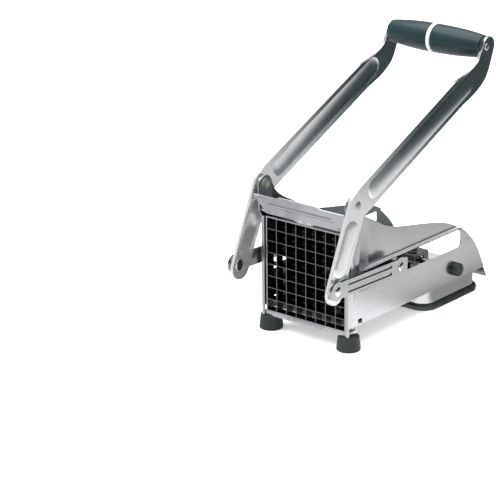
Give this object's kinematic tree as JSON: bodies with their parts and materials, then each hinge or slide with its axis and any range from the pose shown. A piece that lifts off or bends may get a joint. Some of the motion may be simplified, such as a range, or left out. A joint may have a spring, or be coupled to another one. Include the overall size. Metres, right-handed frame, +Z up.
{
  "type": "french fry cutter",
  "caption": "Lever press with a square blade grid, studded pusher, twin links, clamp flap and suction foot that cuts potatoes into sticks.",
  "frame": {"origin": "middle of the suction pad's flat underside, on the table", "axes": "+Z up from the table, +Y from the blade grid towards the rear, +X to the side that has the knob"},
  "size_m": [0.098, 0.2062, 0.2048],
  "materials": {
    "brushed_steel": "brushed stainless sheet",
    "blade_steel": "ground blade steel",
    "bright_steel": "polished",
    "stud_aluminium": "cast, satin",
    "grip_plastic": "gloss",
    "ring_plastic": "gloss",
    "rubber": "matt rubber",
    "knob_rubber": "soft rubber"
  },
  "bodies": {
    "housing": {"wall_right": "brushed_steel", "wall_left": "brushed_steel", "floor_plate": "brushed_steel", "bottom_rail": "brushed_steel", "foot_right": "rubber", "foot_left": "rubber", "foot_screws": "bright_steel", "blade_frame": "brushed_steel", "vertical_blades": "blade_steel", "horizontal_blades": "blade_steel", "pivot_rivets": "bright_steel", "pivot_washers": "bright_steel", "suction_skirt": "brushed_steel", "suction_pad": "rubber"},
    "flap": {"clamp_flap": "brushed_steel", "flap_pins": "bright_steel"},
    "lever": {"arm_right": "brushed_steel", "arm_left": "brushed_steel", "crank_pins": "bright_steel", "handle_rod": "bright_steel", "handle_screws": "bright_steel", "grip_left": "grip_plastic", "grip_right": "grip_plastic", "handle_ring": "ring_plastic"},
    "pusher": {"pusher_plate": "brushed_steel", "pusher_studs": "stud_aluminium", "pusher_carriage": "brushed_steel", "pusher_axle": "bright_steel", "axle_spacers": "bright_steel"},
    "right_link": {"link_right": "brushed_steel", "link_rivet_right": "bright_steel"},
    "left_link": {"link_left": "brushed_steel", "link_rivet_left": "bright_steel"},
    "knob_shaft": {"cam_shaft": "bright_steel", "suction_knob": "knob_rubber"},
    "stem": {"suction_stem": "bright_steel", "lift_bracket": "bright_steel"}
  },
  "joints": [
    {"name": "lever_hinge", "type": "hinge", "parent": "housing", "child": "lever", "pos_m": [0, -0.1308, 0.1101], "axis": [-1, 0, 0], "range_deg": [-70, 15]},
    {"name": "pusher_slide", "type": "slide", "parent": "housing", "child": "pusher", "axis": [0, -1, 0], "range_m": [-0.069, 0.0148]},
    {"name": "right_link_pivot", "type": "hinge", "parent": "pusher", "child": "right_link", "pos_m": [0.0469, -0.0833, 0.0526], "axis": [-1, 0, 0], "range_deg": [-2.5, 10]},
    {"name": "left_link_pivot", "type": "hinge", "parent": "pusher", "child": "left_link", "pos_m": [-0.0469, -0.0833, 0.0526], "axis": [-1, 0, 0], "range_deg": [-2.5, 10]},
    {"name": "flap_hinge", "type": "hinge", "parent": "housing", "child": "flap", "pos_m": [0, -0.1354, 0.092], "axis": [1, 0, 0], "range_deg": [0, 70]},
    {"name": "knob_turn", "type": "hinge", "parent": "housing", "child": "knob_shaft", "pos_m": [0, -0.0038, 0.027], "axis": [-1, 0, 0], "range_deg": [0, 90]},
    {"name": "stem_lift", "type": "slide", "parent": "housing", "child": "stem", "axis": [0, 0, 1], "range_m": [0, 0.0025]}
  ],
  "couplings": [
    {"joint": "pusher_slide", "follows": "lever_hinge", "m_per_rad": 0.0558},
    {"joint": "right_link_pivot", "follows": "lever_hinge", "ratio": -0.13},
    {"joint": "left_link_pivot", "follows": "lever_hinge", "ratio": -0.13},
    {"joint": "knob_turn", "follows": "stem_lift", "rad_per_m": 628}
  ]
}
